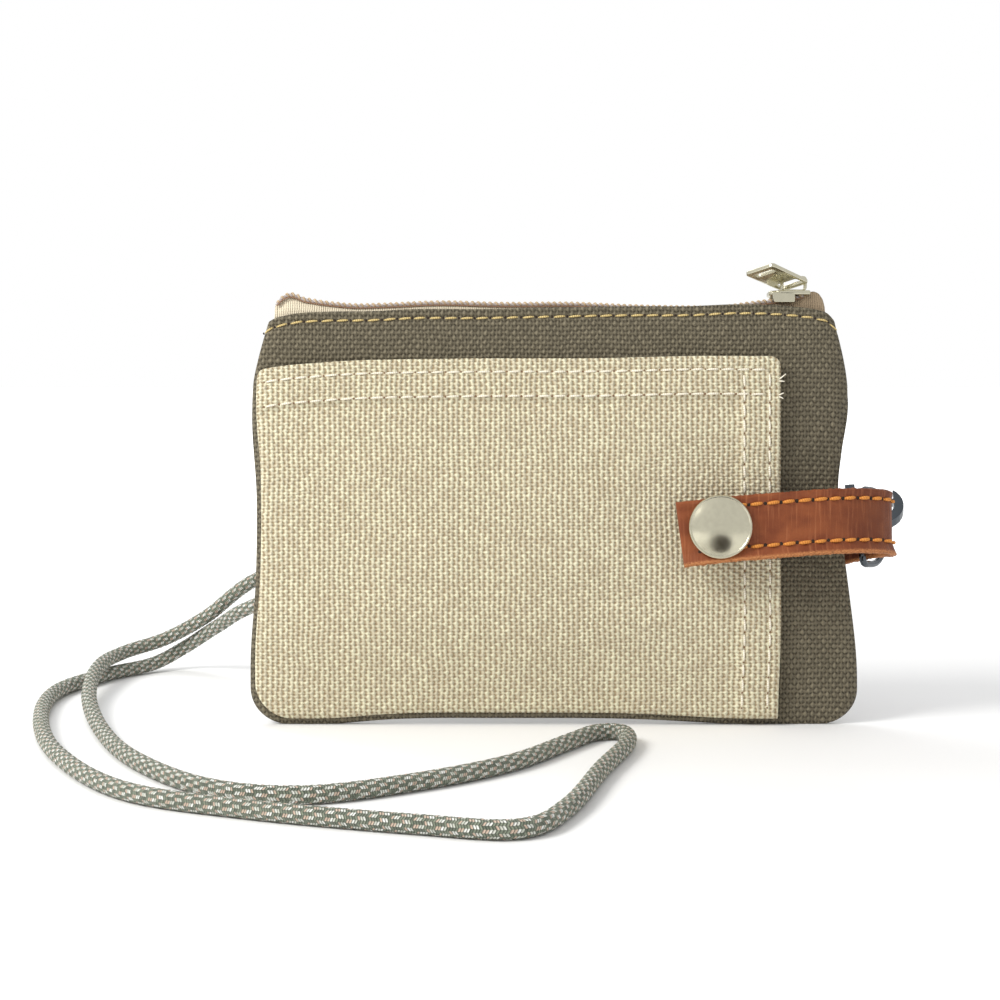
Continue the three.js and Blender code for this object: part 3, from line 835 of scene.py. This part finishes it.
def pocket_right(z):
    return POCKET_RIGHT - 0.5 * (1 - smoothstep(z, 0, 22))


def pocket_edges(z):
    left, right = edges(z)
    return left + 1.2, pocket_right(z)


def pocket_bottom(x):
    return bottom_line(x) + 1.3


def pocket_top(x):
    """The pocket's top edge, with its two worn corners."""
    return pocket_top_line(x) - rounding(POCKET_RIGHT - x, 2.2) - rounding(x + 64.7, 1.5)


def pocket_back(x, z):
    """The pocket's inner face, in front of the pouch's face and looser towards its open edges."""
    return face_out(x, z) + 0.12 + 0.35 * smoothstep(z, 30, 78) + 0.55 * smoothstep(x, 10, 48)


def pocket_face(x, z):
    below = pocket_top(x) - z
    beside = pocket_right(z) - x
    hem = 1 - np.minimum(smoothstep(below, HEM - 0.6, HEM + 0.6), smoothstep(beside, HEM - 0.6, HEM + 0.6))
    dents = [dent(below - row, 0.4, 0.22) * (beside > 1) for row in POCKET_ROWS]
    dents += [dent(beside - column, 0.4, 0.22) * (below > 1) for column in POCKET_COLUMNS]
    return pocket_back(x, z) + CANVAS + HEM_FOLD * hem - sum(dents)


def pocket(width, height):
    fine = np.arange(0, 10.2, 0.4)
    columns = graded(width, np.arange(2.2, width - 10, 0.8), fine)
    rows = graded(height, np.arange(2.2, height - 10, 0.9), fine)
    x, z = sheet_grid(columns, rows, pocket_edges, pocket_bottom, pocket_top, height)
    left, right = pocket_edges(z)
    back, face = pocket_back(x, z), pocket_face(x, z)
    held = np.minimum(x - left, z - pocket_bottom(x))
    free = np.minimum(right - x, pocket_top(x) - z)
    face = back + (face - back) * round_over(held, 1.5)
    middle, half = (back + face) / 2, (face - back) / 2 * round_over(free, EDGE_ROLL)
    return cloth_piece(
        "card_pocket", FRONT, x, z, middle + half, middle - half, BEIGE, "beige_canvas", "pocket_panel"
    )


card_pocket = pocket(112.0, 77.0)


def lining(name, side, node):
    low, high = 10, 82

    def lining_edges(z):
        left, right = edges(z + low)
        return left + 9, right - 9

    columns, rows = np.linspace(0, 1, 60), np.linspace(0, 1, 40)
    x, z = sheet_grid(columns, rows, lining_edges, lambda x: low + 0 * x, lambda x: high + 0 * x, high - low)
    out = face_out(x, z) - 1.7 - 0.35 * smoothstep(z, 60, 80)
    return cloth_piece(name, side, x, z, out, out - 0.4, LINING, "lining_cloth", node)


front_lining_cloth = lining("front_lining_cloth", FRONT, "front_lining")
back_lining_cloth = lining("back_lining_cloth", BACK, "back_lining")


# ---- stitches ----
HOLE_SIDES = 8
HOLE_RING = [(i, (i + 1) % HOLE_SIDES) for i in range(HOLE_SIDES)]
HOLE_FACES = [[i, j, HOLE_SIDES] for i, j in HOLE_RING] + [[j, i, HOLE_SIDES + 1] for i, j in HOLE_RING]


def hole_disc(middle, along, side, out, radius):
    """A low dimple, dark with painted shade, where the thread goes down: rim points, a top and a bottom."""
    turn = once_round(HOLE_SIDES)
    rim = middle + radius * (np.cos(turn)[:, None] * along * 0.8 + np.sin(turn)[:, None] * side)
    return np.concatenate([rim, [middle + out * 0.1], [middle - out * 0.3]])


def stitch_mesh(lines, pitch, length, radius, sink=0.5, tilt=0.0):
    """One thread bar after another along each line (points, outward normals), with a hole beside each."""
    bars, uvs, holes = [], [], []
    sides, rings = 8, 9
    angle = once_round(sides)
    t = np.linspace(0, 1, rings)
    for path, normals in lines:
        gone = distances(path)
        for start in np.arange(pitch * 0.3, gone[-1] - length, pitch):
            start = start + rng.uniform(-0.08, 0.08)
            span = length * rng.uniform(0.93, 1.05)
            reach = np.concatenate([start + span * t, [start - (pitch - length) / 2]])
            line, out = sampled(reach, gone, path), sampled(reach, gone, normals)
            hole, hole_out = line[-1], out[-1]
            line, out = line[:-1], out[:-1]
            along = (line[-1] - line[0]) / np.linalg.norm(line[-1] - line[0])
            side = np.cross(along, out)
            line = line + out * (radius * (1.15 * np.sin(np.pi * t) ** 0.6 - sink))[:, None]
            line = line - side * (tilt * span * (t - 0.5))[:, None]
            size = radius * np.clip(np.sin(np.pi * (0.06 + 0.88 * t)) ** 0.4, 0.3, 1)
            size = size[:, None, None]
            sideways = size * np.cos(angle)[None, :, None] * side[:, None]
            outwards = size * np.sin(angle)[None, :, None] * out[:, None]
            ring = line[:, None] + sideways + outwards
            bars.append((ring.reshape(-1, 3), tube_faces(rings, sides)))
            uvs.append(np.stack(np.meshgrid(angle / 2 / np.pi, t * span), axis=-1).reshape(-1, 2))
            holes.append((hole_disc(hole, along, side[0], hole_out, radius * 1.3), HOLE_FACES))
    return (*joined(*bars), np.concatenate(uvs)), joined(*holes)


def sewn(name, lines, stitch, material, slot, body, **shape):
    """The thread and the needle holes of one seam, as two pieces; the holes are dark with painted shade."""
    (points, faces, uvs), holes = stitch_mesh(lines, *stitch, **shape)
    # The holes' painted shade.
    dark = PALE_HOLE_SHADE if material is CREAM else HOLE_SHADE
    threads = make_piece(name, points, faces, material, slot, body, uvs=uvs)
    return threads, make_piece(name + "_holes", *holes, dark, slot, body)


def sewn_line(side, x, z, out):
    """A line to sew along, on one side of the pouch, with its outward normals."""
    path = np.stack([x, side * out, z], axis=-1)
    return path, np.tile([0.0, float(side), 0.0], (len(x), 1))


def top_row(name, side):
    x = np.linspace(-63.8, 62.6, 500)
    z = top_line(x) - SEAM_DOWN
    line = sewn_line(side, x, z, face_out(x, z) - 0.2)
    sewn(name, [line], TOP_STITCH, OCHRE, "olive_canvas", "root", tilt=-0.07 * side)


def pocket_rows():
    lines = []
    for down in POCKET_ROWS:
        x = np.linspace(-63.6, POCKET_RIGHT - POCKET_COLUMNS[0] + 0.6, 300)
        z = pocket_top_line(x) - down
        lines.append(sewn_line(FRONT, x, z, pocket_face(x, z)))
    for inset in POCKET_COLUMNS:
        z = np.linspace(3, 76.8, 240)
        x = pocket_right(z) - inset
        lines.append(sewn_line(FRONT, x, z, pocket_face(x, z)))
    sewn("pocket_stitches", lines, POCKET_STITCH, CREAM, "beige_canvas", "root", sink=0.2, tilt=0.05)


def loose_ends():
    """Cut thread ends at the pocket's edge, where the rows were locked."""
    height = np.array(74.0)
    x = pocket_right(height) - 0.4
    y = 0.3 - pocket_face(x, height)
    t = np.linspace(0, 1, 9)[:, None]
    bend = np.array([0, -0.25, 0]) * np.sin(np.pi * t)
    ends = []
    for z, lengthwise, rise in ((74.6, 1.4, 1.1), (74.2, 1.1, -0.1), (71.2, 0.9, 0.4), (70.8, 0.8, -0.4)):
        path = np.array([x, y, z]) + t * np.array([lengthwise, -0.2, rise]) + bend
        ends.append(tube(path, 0.13))
    points, faces = joined(*ends)
    make_piece("loose_thread_ends", points, faces, CREAM, "beige_canvas", "root", uvs=points[:, :2])


top_row("front_top_stitches", FRONT)
top_row("back_top_stitches", BACK)
pocket_rows()
loose_ends()


# ---- zip ----
ridge_line = flowing([
    (-61.4, 88.2), (-61.2, 90.6), (-60.4, 92.4), (-59.1, 93.7), (-57.5, 94.2), (-56.3, 93.9), (-55.1, 93.3),
    (-53.2, 92.9), (-50.8, 92.5), (-47.5, 92.1), (-44, 91.8), (-38, 91.9), (-25, 92.4), (-12, 92.1),
    (5, 92.1), (16, 91.6), (23, 91.4), (31, 91.3), (35, 91.3), (38, 91.5), (42.3, 92.1), (46, 92.6),
    (52, 93.4), (55.5, 94.3), (57.3, 94.5), (58.5, 93.6), (59.2, 92), (59.5, 90.2), (59.6, 88.6),
])


def zip_tape(name, side, node):
    ends = [np.linspace(-61.2, -56, 26), np.linspace(54, 59.6, 28)]
    x = np.unique(np.concatenate([*ends, np.arange(-55.6, 54, 0.7)]))
    x, t = np.meshgrid(x, np.linspace(0, 1, 16))
    top = ridge_line(x) - 1.1 + smoothstep(x, 53.4, 55.2) + 0.9 * (1 - smoothstep(x, -61.1, -60.2))
    z = TAPE_FOOT + (top - TAPE_FOOT) * t
    lean_in = smoothstep(z, top - 2.4, top + 0.4)
    drawn_in = 0.8 * smoothstep(np.abs(x + 0.8), 52, 60.4)
    wave = 0.12 * np.sin(x * 0.9) * np.sin(x * 0.23)
    out = 2.5 - 0.9 * lean_in - drawn_in + wave * (1 - lean_in)
    cloth_piece(name, side, x, z, out, out - TAPE_THICKNESS, TAPE, "zip_tape", node)


def coil_line(step, down, out, side):
    """A line beside the zip's ridge, from its bottom stop to its top stops."""
    x = np.linspace(-60.7, 54.6, 900)
    path = np.stack([x, np.full_like(x, side * out), ridge_line(x) - down], axis=-1)
    return respaced(path, step)


def wound(line, places, pitch, swing, phase):
    """The line turned into a spiral about itself."""
    turn = places / pitch * 2 * np.pi + phase
    return line + np.stack([0 * turn, swing * np.cos(turn), swing * np.sin(turn)], axis=-1)


def zip_coil(name, side, node):
    """A spiral filament along the tape's edge, over the cord that it is sewn on with."""
    start = 0 if side == FRONT else np.pi
    wire = wound(*coil_line(COIL_PITCH / 14, 0.46, COIL_OUT, side), COIL_PITCH, 0.36, start)
    make_piece(name, *tube(wire, 0.24), COIL, "zip_coil", "root", [node])
    core = coil_line(0.12, 0.62, COIL_OUT, side)
    strands = [tube(wound(*core, COIL_PITCH * 1.5, 0.2, phase), 0.28) for phase in (0, np.pi)]
    make_piece(name + "_core", *joined(*strands), CORE, "zip_coil", "root")
    line, _ = coil_line(0.5, 1.05, COIL_OUT + 0.45, side)
    make_piece(name + "_thread", *tube(line, 0.13), BROWN, "zip_tape", "root")


zip_tape("front_zip_tape", FRONT, "zip_tape_front")
zip_tape("back_zip_tape", BACK, "zip_tape_back")
zip_coil("front_coil", FRONT, "zip_coil_front")
zip_coil("back_coil", BACK, "zip_coil_back")


# ---- nickel plates and bars with rounded edges ----
def plate(name, loops, thickness, bevel, place, body, *nodes):
    """A flat plate from outlines in mm (the first is the rim, the rest are holes), its edges rounded."""
    curve = bpy.data.curves.new(name + "_outline", "CURVE")
    curve.dimensions = "2D"
    curve.fill_mode = "BOTH"
    for loop in loops:
        spline = curve.splines.new("POLY")
        spline.points.add(len(loop) - 1)
        for point, (x, y) in zip(spline.points, loop):
            point.co = (x * MM, y * MM, 0, 1)
        spline.use_cyclic_u = True
    curve.extrude = (thickness / 2 - bevel) * MM
    curve.bevel_depth = bevel * MM
    curve.bevel_resolution = 2
    curve.offset = -bevel * MM
    holder = linked(name + "_outline", curve)
    graph = bpy.context.evaluated_depsgraph_get()
    mesh = bpy.data.meshes.new_from_object(holder.evaluated_get(graph))
    bpy.data.objects.remove(holder)
    bpy.data.curves.remove(curve)
    weld(mesh)
    mesh.transform(Matrix.Rotation(-LEAN, 4, "X") @ place)
    smooth_all(mesh)
    mesh.set_sharp_from_angle(angle=math.radians(35))
    return finished(name, mesh, NICKEL, body, nodes)


def at(x, y, z, *turns):
    """A placing matrix from millimetres and turns of (degrees, axis)."""
    matrix = Matrix.Translation((x * MM, y * MM, z * MM))
    for degrees, axis in turns:
        matrix = matrix @ Matrix.Rotation(math.radians(degrees), 4, axis)
    return matrix


def upright(y):
    """Places a plate so that its outline is (x, z) and its middle is this far back."""
    return at(0, y, 0, (90, "X"))


def box_outline(x0, x1, y0, y1):
    return [(x0, y0), (x1, y0), (x1, y1), (x0, y1)]


def rounded(corners, radius, steps=5):
    """A closed outline with each corner rounded."""
    out = []
    n = len(corners)
    for i in range(n):
        before, corner, after = (np.array(corners[(i + k) % n], float) for k in (-1, 0, 1))
        a = corner + (before - corner) / np.linalg.norm(before - corner) * radius
        b = corner + (after - corner) / np.linalg.norm(after - corner) * radius
        for t in np.linspace(0, 1, steps):
            out.append(tuple((1 - t) ** 2 * a + 2 * t * (1 - t) * corner + t**2 * b))
    return out


# ---- slider, crown, pull and stops ----
def slider():
    x0, x1 = SLIDER
    rim = [(x0, -1.9), (x0 + 2, -3.3), (x1, -3.3), (x1, 3.3), (x0 + 2, 3.3), (x0, 1.9)]
    plate("slider_plate", [rounded(rim, 0.5)], 1.0, 0.25, at(0, 0, 94.0), "slider", "slider_body")
    for name, side in (("front", FRONT), ("back", BACK)):
        flange = [(x0 + 1.0, 91.8), (FLANGE_END, 91.8), (FLANGE_END, 94.2), (x0 + 0.6, 94.2)]
        plate(f"slider_flange_{name}", [rounded(flange, 0.4)], 0.8, 0.2, upright(side * 2.9), "slider")
    neck = box_outline(52.1, x1, 90.0, 93.9)
    plate("slider_neck", [rounded(neck, 0.3)], 0.7, 0.1, upright(0), "slider")
    wing = [(x0, -0.9), (x0 + 1.5, -1.25), (x1, -1.25), (x1, 1.25), (x0 + 1.5, 1.25), (x0, 0.9)]
    plate("slider_wing", [rounded(wing, 0.4)], 0.8, 0.2, at(0, 0, 89.8), "slider")


def crown():
    """A strip bent up over the slider's plate."""
    (x0, x1), (z0, z1) = CROWN_X, CROWN_Z
    rim = rounded(box_outline(x0, x1, z0, z1), 0.9, 7)
    inner = rounded(box_outline(x0 + 0.7, x1 - 0.7, z0 + 0.25, z1 - 0.6), 0.5)
    plate("pull_bridge", [rim, inner], 1.2, 0.2, upright(0), "slider", "slider_crown")


def pull_tab():
    rim = rounded([(0.5, -3.6), (0.5, 3.6), (-12.8, 3.8), (-12.8, -3.8)], 1.0, 6)
    window = rounded(box_outline(-0.5, -3.5, -2.9, 2.9), 0.4, 4)
    gap = rounded(box_outline(-9.8, -11.3, -2.4, 2.4), 0.5, 4)
    turns = ((PULL_TURNED, "Z"), (PULL_RAISED, "Y"), (PULL_TIPPED, "X"))
    plate("zip_pull", [rim, window, gap], 0.9, 0.2, at(*PULL_AT, *turns), "pull", "slider_pull")


def zip_stop(name, x, y, thickness):
    """A small staple clamped over the coils' ends, sunk between the tapes."""
    outline = box_outline(x - 0.6, x + 0.6, *STOP_Z)
    plate(name, [rounded(outline, 0.35)], thickness, 0.15, upright(y), "root", f"zip_{name}")


slider()
crown()
pull_tab()
zip_stop("bottom_stop", -57.15, 0, 2.2)
zip_stop("top_stop_front", 56.95, -0.9, 0.5)
zip_stop("top_stop_back", 56.95, 0.9, 0.5)


# ---- leather strap ----
STRAP_FRONT = [
    (26.5, -12.4, 40.8), (35.5, -12.6, 41.9), (46, -11.9, 42.8), (56, -10.3, 43.6), (64, -8.1, 44),
    (69, -5.5, 44), (72, -2.9, 43.8),
]
STRAP_BACK = [
    (73.05, -0.4, 43.5), (72.5, 2.6, 43.3), (70.2, 5.4, 43), (66, 7.4, 42), (60, 8.0, 40.6), (52, 7.6, 39.1),
    (44, 6.9, 37.6), (36, 6.8, 36.2), (27, 7.2, 34.6),
]

strap_path, strap_places = respaced(catmull(STRAP_FRONT + STRAP_BACK, 20), 0.45)
strap_along = np.gradient(strap_path, axis=0)
strap_along[:, 2] = 0
strap_along /= np.linalg.norm(strap_along, axis=1)[:, None]
strap_out = np.stack([strap_along[:, 1], -strap_along[:, 0], 0 * strap_along[:, 0]], axis=-1)
BEND_PLACE = strap_places[np.argmax(strap_path[:, 0])]


def strap_surface(place, across, depth):
    """A point of the strap and the way out from it.

    place is its distance along, across its height over the middle line, and depth its distance out from the
    leather's middle.
    """
    base = sampled(place, strap_places, strap_path)
    out = sampled(place, strap_places, strap_out)
    front = 1 - smoothstep(place, BEND_PLACE - 4, BEND_PLACE + 6)
    flare = np.clip((-across - 2.6) / 4.4, 0, 1) ** 2 * 1.5 * front
    top = np.clip((across - 4) / 3, 0, 1) ** 2 * 0.35 * front
    start = smoothstep(place, 0, 14)
    lift = (flare * (0.35 + 0.65 * start) + top + depth)[..., None]
    slant = np.clip(2 - place, 0, 2) / 2 * (-across) * 0.13
    point = base + out * lift
    point[..., 0] += slant
    point[..., 2] += across
    return point, out


def strap_section():
    """The outline of the strap's cut end, as rows of (across, depth)."""
    half, straight = LEATHER / 2, STRAP_WIDTH / 2 - LEATHER_ROUND
    outline = []
    for side, bearings in ((1, np.linspace(80, -80, 7)), (-1, np.linspace(260, 100, 7))):
        outline += [(across, side * half) for across in np.linspace(-side * straight, side * straight, 30)]
        for bearing in map(math.radians, bearings):
            outline.append((side * straight + LEATHER_ROUND * math.cos(bearing), half * math.sin(bearing)))
    return np.array(outline)


def strap():
    section = strap_section()
    place, across = np.meshgrid(strap_places, section[:, 0], indexing="ij")
    depth = np.broadcast_to(section[:, 1], place.shape)
    wrinkle = 0.035 * np.sin(place * 2.1 + 0.4 * np.sin(across * 0.8)) * np.sin(place * 0.71)
    dents = sum(dent(across - row, 0.35, 0.14) for row in (STITCH_UP, STITCH_DOWN))
    depth = depth + np.where(depth > 0, wrinkle - dents, 0)
    ragged = np.where(np.abs(across) > STRAP_WIDTH / 2 - 0.6, rng.normal(0, 0.07, place.shape), 0)
    points, _ = strap_surface(place, across + ragged, depth)
    faces = tube_faces(len(strap_places), len(section))
    cut_edge = across < LEATHER_ROUND - STRAP_WIDTH / 2
    uvs = np.stack([place, np.where(cut_edge, across - 0.4, across)], axis=-1).reshape(-1, 2)
    nodes = ["strap_front", "strap_back"]
    return make_piece("leather_strap", points, faces, TAN, "tan_leather", None, nodes, uvs)


def strap_stitches():
    place = np.linspace(3.6, BEND_PLACE + 24, 500)
    depth = np.full_like(place, LEATHER / 2 - 0.1)
    lines = [strap_surface(place, np.full_like(place, across), depth) for across in (STITCH_UP, STITCH_DOWN)]
    return sewn("strap_stitches", lines, STRAP_STITCH, ORANGE, "tan_leather", None, sink=0.15, tilt=0.06)


for bending in (strap(), *strap_stitches()):
    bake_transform(bending)


# ---- snap ----
def turned(name, profile, body, node):
    """A profile of (radius, distance in front of the post's back) turned about the snap's axis."""
    radius, forward = np.array(profile, float).T[:, :, None]
    sides = 64
    x = SNAP[0] + radius * np.cos(once_round(sides))
    z = SNAP[1] + radius * np.sin(once_round(sides))
    points = np.stack([x, np.broadcast_to(-(POST_BACK + forward), x.shape), z], axis=-1)
    faces = grid_faces(len(profile), sides, wrap=True)
    obj = make_piece(name, points, faces, NICKEL, "nickel", body, [node])
    weld(obj.data)
    obj.data.set_sharp_from_angle(angle=math.radians(40))


def dome(radius, rise, base, steps=16):
    """A low dome's profile from its middle out."""
    return [(radius * t, base + rise * (1 - t**2.3)) for t in np.linspace(0, 1, steps)]


turned("snap_dome", [
    *dome(CAP_RADIUS - 0.75, 1.15, 9.15),
    (CAP_RADIUS - 0.62, 9.1), (CAP_RADIUS - 0.45, 9.22), (CAP_RADIUS - 0.25, 9.22), (CAP_RADIUS - 0.06, 9.05),
    (CAP_RADIUS, 8.8), (CAP_RADIUS - 0.06, 8.5), (CAP_RADIUS - 0.3, 8.3), (CAP_RADIUS - 0.6, 8.25),
    (1.7, 8.25), (1.7, 6.2), (0, 6.2),
], "strap_flap", "snap_cap")
turned("snap_ring", [
    (2.4, 3.5), (4.6, 3.5), (4.75, 3.8), (4.6, 4.1), (4.0, 4.3), (4.0, 5.7), (3.9, 5.8), (2.3, 5.8),
    (2.2, 5.5), (2.45, 5.1), (2.6, 4.5), (2.4, 4.1), (2.4, 3.5),
], "strap_flap", "snap_socket")
turned("snap_knob", [
    (0, 5.3), (1.2, 5.25), (1.75, 5.0), (2.0, 4.5), (1.7, 4.1), (1.7, 3.25), (4.3, 3.0), (4.4, 2.75),
    (4.3, 2.5), (0, 2.5),
], "root", "snap_stud")
turned("snap_rivet", [
    (0, 2.2), (0.8, 2.2), (0.8, 0.25), (3.5, 0.25), (3.6, 0.12), (3.5, 0), (0, 0),
], "root", "snap_post")
